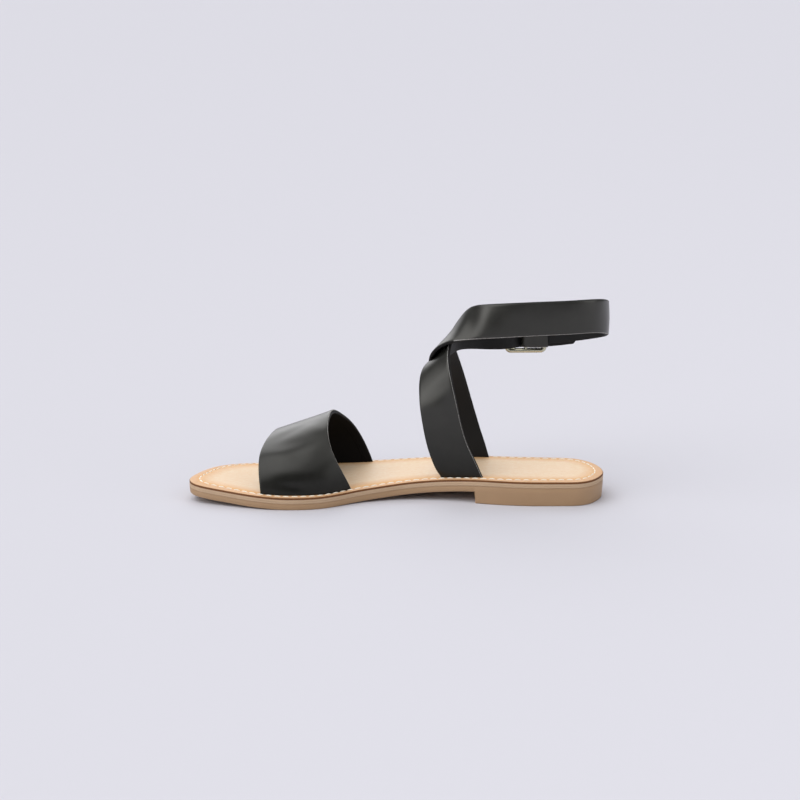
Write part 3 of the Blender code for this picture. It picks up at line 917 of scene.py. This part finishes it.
def crease_height(creases, round_way, along_way):
    """How far the leather is pushed out at places given in millimetres on its own surface."""
    height = np.zeros_like(round_way)
    for crease in creases:
        turn = math.radians(crease.turn)
        across, down = round_way - crease.round, along_way - crease.along
        lengthways = across * math.sin(turn) + down * math.cos(turn)
        sideways = across * math.cos(turn) - down * math.sin(turn)
        reach = (lengthways / crease.length) ** 2 + (sideways / crease.width) ** 2
        height += crease.depth * np.exp(-reach)
    return height


print(f"{len(BAND_CREASES)} creases on the band, {len(MEDIAL_CREASES + LATERAL_CREASES)} on the straps")

# %% Arch of the band
SLOT_INSET = 5.3
RIDGE_FRONT_X, RIDGE_FRONT_Z = 50.0, 36.9
RIDGE_REAR_X, RIDGE_REAR_Z = 88.0, 49.4
BAND_FULLNESS = 0.92
BAND_COLUMNS, HEM_COLUMNS = 40, 5
HEM_WIDTH, HEM_STEP = 4.5, 0.25

BandEdge = namedtuple("BandEdge", "share front_x rear_x")
BAND_EDGES = [
    BandEdge(0, 44.2, 98),
    BandEdge(1 / 6, 42.9, 87.8),
    BandEdge(2 / 6, 44.4, 84.2),
    BandEdge(3 / 6, 50, 85.6),
    BandEdge(4 / 6, 54.5, 89.8),
    BandEdge(5 / 6, 56.5, 100),
    BandEdge(1, 57, 110.5),
]


def band_middle(grow, depth, rows):
    """Middle surface of the band: an arch over the foot between its two edge lines."""
    shares = np.linspace(0, 1, rows + 1)
    edges = spline([row.share for row in BAND_EDGES], [row[1:] for row in BAND_EDGES])(shares)
    front = edges[:, :1] + EDGE_BULGE - grow
    rear = edges[:, 1:] - EDGE_BULGE + grow
    hem = rear - HEM_WIDTH
    before_hem = front + (hem - front) * np.linspace(0, 1, BAND_COLUMNS + 1)
    in_hem = hem + HEM_STEP + (HEM_WIDTH - HEM_STEP) * np.linspace(0, 1, HEM_COLUMNS + 1)
    x = np.concatenate([before_hem, in_hem], axis=1)
    sides = plan_sides(share_of(x.ravel())).reshape(*x.shape, 2)
    medial, lateral = sides[..., 0] + SLOT_INSET, sides[..., 1] - SLOT_INSET
    turn = np.pi * shares[:, None]
    y = (medial + lateral) / 2 - (lateral - medial) / 2 * np.cos(turn)
    slope = (RIDGE_REAR_Z - RIDGE_FRONT_Z) / (RIDGE_REAR_X - RIDGE_FRONT_X)
    ridge = RIDGE_FRONT_Z + slope * (x - RIDGE_FRONT_X)
    foot = insole_surface(x, PAD_MARGIN)
    z = foot + (ridge - foot) * np.sin(turn) ** BAND_FULLNESS
    z[0], z[-1] = foot[0], foot[-1]
    arch = np.stack([x, y, z], axis=-1)
    below = insole_bottom(x) - depth
    ends = arch[[0, -1]].copy()
    ends[:, :, 2] = below[[0, -1]]
    return np.concatenate([ends[:1], arch, ends[1:]])


widths = [row.rear_x - row.front_x for row in BAND_EDGES]
print(f"band {min(widths):.1f} mm wide on top, up to {max(widths):.1f} mm at its ends")

# %% Build the toe band
CLEARANCE = 0.3
SLIT_DEPTH, SLIT_ROWS = 1.0, 60
BAND_ROWS = 150
HEM_THICK = 0.5


def surface_normals(grid):
    return unit(np.cross(np.gradient(grid, axis=1), np.gradient(grid, axis=0)))


def band_slits():
    """The band without creases, grown all round, to cut its slits with."""
    grid = band_middle(CLEARANCE, SLIT_DEPTH, SLIT_ROWS)
    half = np.full(grid.shape[:2] + (1,), LEATHER / 2 + CLEARANCE)
    return leather_wall("band_slits", grid, surface_normals(grid), half, half, (CUT, CUT), [TAN])


def band_wall():
    """The band with its creases, and its hem inside the rear edge."""
    grid = band_middle(0, 0, BAND_ROWS)
    out = surface_normals(grid)
    half = np.full(grid.shape[:2] + (1,), LEATHER / 2)
    centre = grid[:, BAND_COLUMNS // 2]
    girth = np.cumsum(np.linalg.norm(np.diff(centre, axis=0, prepend=centre[:1]), axis=1))
    forward = grid[..., 0] - grid[:, :1, 0]
    around = np.broadcast_to(girth[:, None], forward.shape)
    grid = grid + out * crease_height(BAND_CREASES, around, forward)[..., None]
    to_rear = grid[:, -1:, 0] - grid[..., 0]
    hem = HEM_THICK * (to_rear < HEM_WIDTH - HEM_STEP / 2)[..., None]
    return leather_wall("toe_band_leather", grid, out, half, half + hem, (OUTSIDE, LINE), BAND_FINISHES)


band = band_wall()
cut_away(insole, band_slits())
hand_over(band, "black_leather", "toe_band")

# %% [markdown]
# ### Ankle straps
# Two straps leave the sole in front of the heel, one on each side, and cross over the instep.
# The one from the outer side goes round the back of the ankle and ends folded on the buckle.
# The one from the inner side crosses under it and runs through the buckle as the tail.
# Each table row is a section: the middle of the strap, its width and the direction across it.

# %% Sections of the straps
Section = namedtuple("Section", "place x y z width across")
MEDIAL_STRAP = [
    Section("slit", 165.1, -21, 14, 26, (0.965, -0.26, 0)),
    Section("arch", 157.4, -21.6, 30.4, 24.4, (0.91, -0.2, 0.36)),
    Section("ankle bone", 152.5, -22, 48.5, 23.4, (0.9, -0.2, 0.38)),
    Section("turn", 149.6, -21, 66.1, 23, (0.84, -0.3, 0.45)),
    Section("front", 149, -14.9, 78.7, 23, (0.73, -0.44, 0.52)),
    Section("crossing", 153.1, -6.6, 88.4, 22.5, (0.51, -0.54, 0.67)),
    Section("outer turn", 158.5, 1.6, 91.7, 20.6, (0.27, -0.52, 0.81)),
    Section("outer front", 164.5, 14.3, 95.1, 21, (0.19, -0.17, 0.97)),
    Section("outer side", 176.7, 25.5, 94.1, 20.5, (0.05, 0, 1)),
]
LATERAL_STRAP = [
    Section("slit", 170.3, 26.8, 14, 26, (0.99, -0.12, 0)),
    Section("arch", 165.8, 28.5, 29.3, 24.4, (0.95, -0.05, 0.3)),
    Section("ankle bone", 159, 26, 54, 23.8, (0.95, 0.1, 0.3)),
    Section("turn", 155.3, 18.3, 70.2, 23.2, (0.85, 0.34, 0.41)),
    Section("front", 153.1, 8.3, 82.5, 22.8, (0.68, 0.63, 0.38)),
    Section("crossing", 155.3, -6.5, 95.8, 19.6, (0.54, 0.75, 0.39)),
    Section("inner turn", 162.3, -12, 103, 20.2, (0.18, 0.83, 0.53)),
    Section("inner front", 171.3, -20.2, 109, 20.7, (0.06, 0.4, 0.91)),
    Section("inner side", 181, -25.4, 111, 20.5, (-0.04, 0.2, 0.98)),
    Section("inner ankle", 210.6, -29, 113.2, 20.4, (0, 0.03, 1)),
    Section("inner back", 232, -26.7, 113.8, 20.4, (0, 0, 1)),
    Section("back turn", 244.5, -20, 113.2, 20.4, (0, 0, 1)),
    Section("back", 252.4, -3, 109, 20.4, (0, 0.1, 1)),
    Section("outer back turn", 248.6, 15.5, 103.4, 20.4, (0, 0.1, 1)),
    Section("outer back", 237, 24, 99.7, 20.2, (0, 0.05, 1)),
]
print(f"{len(MEDIAL_STRAP)} and {len(LATERAL_STRAP)} sections")

# %% [markdown]
# ### Strap ends at the buckle
# Near the buckle it is easier to measure from its middle bar: forward to the toe, outward from the
# foot, and up. The tail passes inside the ring's front end, over the bar and over the rear end.
# The other strap comes in inside the rear end, is folded round the bar, and its flap lies inside.

# %% Rows from the middle bar
BAR_RADIUS = 1.0
FOLD_RADIUS = BAR_RADIUS + CLEARANCE + SKIVED_LEATHER / 2
FOLD_POINTS = 9
BAR = np.array([205.0, 26.14, 94.9])
FORWARD = unit([-1.0, -0.03, 0.0])
OUTWARD = unit([-0.03, 1.0, 0.0])
UPWARD = unit(np.cross(OUTWARD, FORWARD))

StrapEnd = namedtuple("StrapEnd", "forward outward up width")
TAIL = [
    StrapEnd(15.5, -2, -0.6, 20.4),
    StrapEnd(11.6, -2.85, -0.2, 20.2),
    StrapEnd(8.2, -2.2, -0.1, 20.2),
    StrapEnd(5.3, 0.6, -0.1, 20.2),
    StrapEnd(2.2, 3.5, -0.25, 20.6),
    StrapEnd(-1, 4.4, -0.3, 21.2),
    StrapEnd(-6, 3.7, 0, 21.2),
    StrapEnd(-12, 2.9, 0.3, 21),
    StrapEnd(-21.5, 1.4, 1.2, 20.7),
    StrapEnd(-28.8, 0.65, 1.95, 20.3),
    StrapEnd(-30.4, 0.5, 2.1, 16),
]
APPROACH = [
    StrapEnd(-24, -2.2, 3.3, 19.4),
    StrapEnd(-12, -2.7, 1.85, 18.4),
    StrapEnd(-6.3, -0.6, 0.65, 18.5),
    StrapEnd(-3, 1.4, 0.1, 19.8),
]
FLAP = [
    StrapEnd(-4, -2.5, 0.1, 19.8),
    StrapEnd(-9, -4, 0.35, 19.6),
    StrapEnd(-13, -4.6, 0.55, 19.4),
]


def buckle_point(forward, outward, up=0.0):
    """A place given from the buckle's middle bar, in the buckle's own directions."""
    return BAR + FORWARD * forward + OUTWARD * outward + UPWARD * up


def fold_rows():
    """The lateral strap's end: in to the middle bar, round it, and back inside as a flap."""
    last = APPROACH[-1]
    fold = []
    for turn in np.radians(np.linspace(90, -90, FOLD_POINTS)):
        along, outward = FOLD_RADIUS * math.cos(turn), FOLD_RADIUS * math.sin(turn)
        fold.append(StrapEnd(along, outward, last.up, last.width))
    return APPROACH + fold + FLAP


print("middle bar at", BAR, "mm from the toe tip")

# %% Strap surface
STRAP_STEP, STRAP_COLUMNS = 1.0, 14
STRAP_CROWN, CROWN_FADE = 0.5, 15.0


def strap_sections(table, ends, depth):
    """Centres, directions across and widths of a strap, from its seat in the slit to its end."""
    first, second = table[:2]
    # At the slit the strap follows the insole's slope, measured over two millimetres.
    below, above = insole_bottom(np.array([first.x - 1, first.x + 1]))
    seat = (below + above) / 2 - depth
    beyond = (seat - first.z) / (second.z - first.z)
    seat_x = first.x + beyond * (second.x - first.x)
    first = first._replace(across=(2, 2 * first.across[1] / first.across[0], above - below))
    rows = [first._replace(x=seat_x, z=seat), first] + table[1:]
    centres = [np.array([row.x, row.y, row.z]) for row in rows]
    centres += [buckle_point(row.forward, row.outward, row.up) for row in ends]
    across = [unit(row.across) for row in rows] + [UPWARD] * len(ends)
    widths = [row.width for row in rows] + [row.width for row in ends]
    return np.array(centres), np.array(across), np.array(widths)


def strap_middle(sections, end_count, outward_sign, grow):
    """Middle surface of a strap, its outward directions, its stops and the run left to its end part."""
    centres, across, widths = sections
    run = np.concatenate([[0], np.cumsum(np.linalg.norm(np.diff(centres, axis=0), axis=1))])
    path, ways = spline(run, centres), spline(run, across)
    stops = np.linspace(0, run[-1], int(run[-1] / STRAP_STEP) + 1)
    middle, way = path(stops), unit(ways(stops))
    along = unit(np.gradient(middle, stops, axis=0))
    square = unit(way - along * np.sum(way * along, axis=1)[:, None])
    blend = ease((stops - run[1]) / (run[2] - run[1]))[:, None]
    way = unit(way + (square - way) * blend)
    out = outward_sign * unit(np.cross(along, way))
    width = np.interp(stops, run, widths)[:, None, None] + 2 * (grow - EDGE_BULGE)
    place = np.linspace(-1, 1, STRAP_COLUMNS + 1)[None, :, None]
    before_end = run[len(centres) - end_count] - stops
    crown = STRAP_CROWN * ease(before_end / CROWN_FADE)[:, None, None] * (1 - place**2)
    grid = middle[:, None] + way[:, None] * place * width / 2 + out[:, None] * crown
    return grid, np.broadcast_to(out[:, None], grid.shape), stops, before_end


print(f"a row every {STRAP_STEP} mm, {STRAP_COLUMNS + 1} points across")

# %% Build the straps
THINNING = 8.0
FOOT_REACH = 25.0


def strap_slit(name, strap):
    """The foot of a strap, grown all round, to cut its slit with."""
    sections = strap_sections(strap.table, strap.ends, SLIT_DEPTH)
    grid, out, stops, _ = strap_middle(sections, len(strap.ends), strap.outward_sign, CLEARANCE)
    foot = stops <= FOOT_REACH
    half = np.full((foot.sum(), grid.shape[1], 1), LEATHER / 2 + CLEARANCE)
    return leather_wall(name, grid[foot], out[foot], half, half, (CUT, CUT), [TAN])


def strap_wall(name, strap):
    """A strap of leather with its creases, thinned where its end folds."""
    sections = strap_sections(strap.table, strap.ends, 0)
    grid, out, stops, before_end = strap_middle(sections, len(strap.ends), strap.outward_sign, 0)
    across = np.linalg.norm(grid - grid[:, :1], axis=2)
    across = across - across[:, -1:] / 2
    run = np.broadcast_to(stops[:, None], across.shape)
    grid = grid + out * crease_height(strap.creases, run, across)[..., None]
    thick = LEATHER + (strap.end_thick - LEATHER) * ease(-before_end / THINNING)
    half = np.broadcast_to(thick[:, None, None] / 2, grid.shape[:2] + (1,))
    highlight_row = np.searchsorted(stops, strap.worn_from)
    return leather_wall(name, grid, out, half, half, strap.edges, STRAP_FINISHES, highlight_row)


Strap = namedtuple("Strap", "table ends outward_sign end_thick creases edges worn_from")
STRAPS = {
    "medial_strap": Strap(
        MEDIAL_STRAP, TAIL, -1, LEATHER, MEDIAL_CREASES, edges=(CUT, HAIRLINE), worn_from=0
    ),
    # The lateral strap's painted highlight starts past the crossing, where its lower edge lies in shade.
    "lateral_strap": Strap(
        LATERAL_STRAP, fold_rows(), 1, SKIVED_LEATHER, LATERAL_CREASES, edges=(LINE, CUT), worn_from=108
    ),
}
for name, strap in STRAPS.items():
    made = strap_wall(name, strap)
    cut_away(insole, strap_slit(name + "_slit", strap))
    hand_over(made, "black_leather", "ankle_straps")

# %% [markdown]
# ### Finishing the insole
# With all its slits cut, the insole learns how far each of its points lies from the outline.
# The finish reads that distance, so the margin can be darker than the middle at any size.

# %% Distance from the edge
def distance_to_outline(points):
    """Shortest way from points seen from above to the outline, in millimetres."""
    start, step = OUTLINE, np.roll(OUTLINE, -1, axis=0) - OUTLINE
    square = np.sum(step * step, axis=1)
    nearest = np.full(len(points), np.inf)
    for a, d, s in zip(start, step, square):
        share = np.clip((points - a) @ d / s, 0, 1)
        nearest = np.minimum(nearest, np.linalg.norm(points - a - share[:, None] * d, axis=1))
    return nearest


corners = np.array([v.co for v in insole.data.vertices]) / MM - [TOE_X, 0, 0]
from_edge = distance_to_outline(corners[:, :2])
stored = insole.data.attributes.new("from_edge", "FLOAT", "POINT")
stored.data.foreach_set("value", from_edge.astype(np.float32))
smooth(insole.data)
hand_over(insole, "insole", "insole")

# %% [markdown]
# ## Stitches by Geometry Nodes
# A row of thick off-white thread runs round the insole. Each stitch is a short piece of thread that
# rises from one hole and dives into the next. One stitch is drawn as a bent line with a round
# section, and copied along the path. Geometry Nodes suit this: the path is resampled to whole
# stitches, so the last one meets the first, and pitch, length and thickness stay inputs to change.

# %% Node tree for a row of stitches
TREE_INPUTS = {
    "Path": "Geometry",
    "Pitch": "Float",
    "Stitch Length": "Float",
    "Thread Radius": "Float",
    "Dip": "Float",
    "Up": "Vector",
    "Wander": "Float",
    "Seed": "Int",
    "Thread": "Material",
}
BEND_STEPS, THREAD_SIDES = 8, 8
CROWN_IN_RADII = 1.6


def stitch_tree():
    tree = bpy.data.node_groups.new("stitch_row", "GeometryNodeTree")
    for name, kind in TREE_INPUTS.items():
        tree.interface.new_socket(name, in_out="INPUT", socket_type="NodeSocket" + kind)
    tree.interface.new_socket("Stitches", in_out="OUTPUT", socket_type="NodeSocketGeometry")
    given = tree.nodes.new("NodeGroupInput").outputs

    def feed(socket, value):
        if isinstance(value, bpy.types.NodeSocket):
            tree.links.new(value, socket)
        else:
            socket.default_value = value

    def node(kind, settings=(), **inputs):
        made = tree.nodes.new(kind)
        for name, value in dict(settings).items():
            setattr(made, name, value)
        for name, value in inputs.items():
            feed(made.inputs[name.replace("_", " ")], value)
        return made

    def maths(operation, first, second):
        made = node("ShaderNodeMath", {"operation": operation})
        feed(made.inputs[0], first)
        feed(made.inputs[1], second)
        return made.outputs[0]

    def along(x, z):
        return node("ShaderNodeCombineXYZ", X=x, Z=z).outputs[0]

    half = maths("MULTIPLY", given["Stitch Length"], 0.5)
    below = maths("MULTIPLY", given["Dip"], -1.0)
    bend = node(
        "GeometryNodeCurveQuadraticBezier",
        Resolution=BEND_STEPS,
        Start=along(maths("MULTIPLY", half, -1.0), below),
        Middle=along(0.0, maths("MULTIPLY", given["Thread Radius"], CROWN_IN_RADII)),
        End=along(half, below),
    )
    section = node(
        "GeometryNodeCurvePrimitiveCircle", Resolution=THREAD_SIDES, Radius=given["Thread Radius"]
    )
    thread = node(
        "GeometryNodeCurveToMesh",
        Curve=bend.outputs[0],
        Profile_Curve=section.outputs[0],
        Fill_Caps=True,
    )
    path = node("GeometryNodeMeshToCurve", Mesh=given["Path"])
    length = node("GeometryNodeCurveLength", Curve=path.outputs[0])
    count = maths("ROUND", maths("DIVIDE", length.outputs[0], given["Pitch"]), 0.0)
    places = node("GeometryNodeResampleCurve", Curve=path.outputs[0], Count=count)
    tangent = node("GeometryNodeInputTangent")
    heading = node(
        "FunctionNodeAlignRotationToVector", {"axis": "X"}, Vector=tangent.outputs[0]
    )
    upright = node(
        "FunctionNodeAlignRotationToVector",
        {"axis": "Z", "pivot_axis": "X"},
        Rotation=heading.outputs[0],
        Vector=given["Up"],
    )
    swing = node("FunctionNodeRandomValue", {"data_type": "FLOAT"}, Seed=given["Seed"])
    feed(swing.inputs[2], maths("MULTIPLY", given["Wander"], -1.0))
    feed(swing.inputs[3], given["Wander"])
    twist = node("FunctionNodeAxisAngleToRotation", Axis=(0, 0, 1), Angle=swing.outputs[1])
    turned = node("FunctionNodeRotateRotation", {"rotation_space": "LOCAL"}, Rotation=upright.outputs[0])
    feed(turned.inputs[1], twist.outputs[0])
    row = node(
        "GeometryNodeInstanceOnPoints",
        Points=places.outputs[0],
        Instance=thread.outputs[0],
        Rotation=turned.outputs[0],
    )
    real = node("GeometryNodeRealizeInstances", Geometry=row.outputs[0])
    round_faces = node("GeometryNodeSetShadeSmooth", Geometry=real.outputs[0])
    dyed = node("GeometryNodeSetMaterial", Geometry=round_faces.outputs[0], Material=given["Thread"])
    result = tree.nodes.new("NodeGroupOutput")
    tree.links.new(dyed.outputs[0], result.inputs[0])
    return tree


STITCH_TREE = stitch_tree()
print("stitch tree:", len(STITCH_TREE.nodes), "nodes")

# %% Sew the insole
STITCHES = {
    "Pitch": 5.2 * MM,
    "Stitch Length": 4.4 * MM,
    "Thread Radius": 0.42 * MM,
    "Dip": 0.5 * MM,
    "Up": (0.0, 0.0, 1.0),
    "Wander": 0.05,
    "Seed": 4,
    "Thread": THREAD,
}


def stitch_row(name, points, inputs):
    """Runs the stitch tree round a closed path and keeps the result as a plain mesh."""
    count = len(points)
    edges = [(i, (i + 1) % count) for i in range(count)]
    mesh = bpy.data.meshes.new(name + "_path")
    mesh.from_pydata(place_points(points).tolist(), edges, [])
    path = link(name + "_path", mesh)
    modifier = path.modifiers.new("stitches", "NODES")
    modifier.node_group = STITCH_TREE
    for socket in STITCH_TREE.interface.items_tree:
        if socket.in_out == "INPUT" and socket.name in inputs:
            modifier[socket.identifier] = inputs[socket.name]
    sewn = evaluated_mesh(path)
    path.modifiers.clear()
    bpy.data.objects.remove(path)
    sewn.name = name
    return link(name, sewn)


stitch_height = insole_surface(RING_X, stitch_inset) - CHANNEL_DEPTH
stitches = stitch_row("insole_stitches", ring(stitch_inset, stitch_height), STITCHES)
hand_over(stitches, None)

# %% [markdown]
# ## Buckle
# The buckle is bent from round wire: a ring with soft corners, a bar across its middle, and a pin
# that loops round the bar. A curve with a round bevel is the quickest wire in Blender, and it is
# turned into a mesh so that its place is in its points.

# %% Bend the wire
WIRE_RADIUS, PRONG_RADIUS, PRONG_OVERHANG = 1.5, 0.8, 2.0
FRAME_LENGTH, FRAME_HEIGHT, FRAME_CORNER = 23.0, 24.0, 2.4
CORNER_POINTS, LOOP_POINTS, PIN_POINTS = 12, 28, 11
LOOP_START, LOOP_END = -60, -270
WIRE_ROUNDING = 6


def wire(name, places, radius, closed):
    line = bpy.data.curves.new(name, "CURVE")
    line.dimensions = "3D"
    line.bevel_depth = radius * MM
    line.bevel_resolution = WIRE_ROUNDING
    line.use_fill_caps = not closed
    run = line.splines.new("POLY")
    run.points.add(len(places) - 1)
    run.use_cyclic_u = closed
    for point, place in zip(run.points, place_points(places)):
        point.co = (*place, 1)
    guide = link(name + "_line", line)
    mesh = evaluated_mesh(guide)
    bpy.data.objects.remove(guide)
    mesh.name = name
    smooth(mesh)
    mesh.materials.append(GOLD)
    return link(name, mesh)


def ring_places():
    """Line of the ring, corner by corner."""
    long, high = FRAME_LENGTH / 2 - FRAME_CORNER, FRAME_HEIGHT / 2 - FRAME_CORNER
    corners = [(long, high, 0), (-long, high, 90), (-long, -high, 180), (long, -high, 270)]
    places = []
    for forward, up, start in corners:
        for turn in np.radians(start + np.linspace(0, 90, CORNER_POINTS)):
            along = forward + FRAME_CORNER * math.cos(turn)
            places.append(buckle_point(along, 0, up + FRAME_CORNER * math.sin(turn)))
    return places


def prong_places():
    """Line of the pin: round the middle bar, then forward over the front of the ring."""
    loop = BAR_RADIUS + CLEARANCE + PRONG_RADIUS
    rise = (WIRE_RADIUS - BAR_RADIUS) / (FRAME_LENGTH / 2)
    turns = np.radians(np.linspace(LOOP_START, LOOP_END, LOOP_POINTS))
    places = [buckle_point(loop * math.cos(t), loop * math.sin(t)) for t in turns]
    for forward in np.linspace(0, FRAME_LENGTH / 2 + PRONG_OVERHANG, PIN_POINTS)[1:]:
        places.append(buckle_point(forward, loop + rise * forward))
    return places


bar_places = [buckle_point(0, 0, share * FRAME_HEIGHT) for share in (-0.5, 0.5)]
hand_over(wire("buckle_ring", ring_places(), WIRE_RADIUS, True), "buckle", "buckle_frame")
hand_over(wire("buckle_bar", bar_places, BAR_RADIUS, False), "buckle", "buckle_frame")
hand_over(wire("buckle_pin", prong_places(), PRONG_RADIUS, False), "buckle", "buckle_prong")
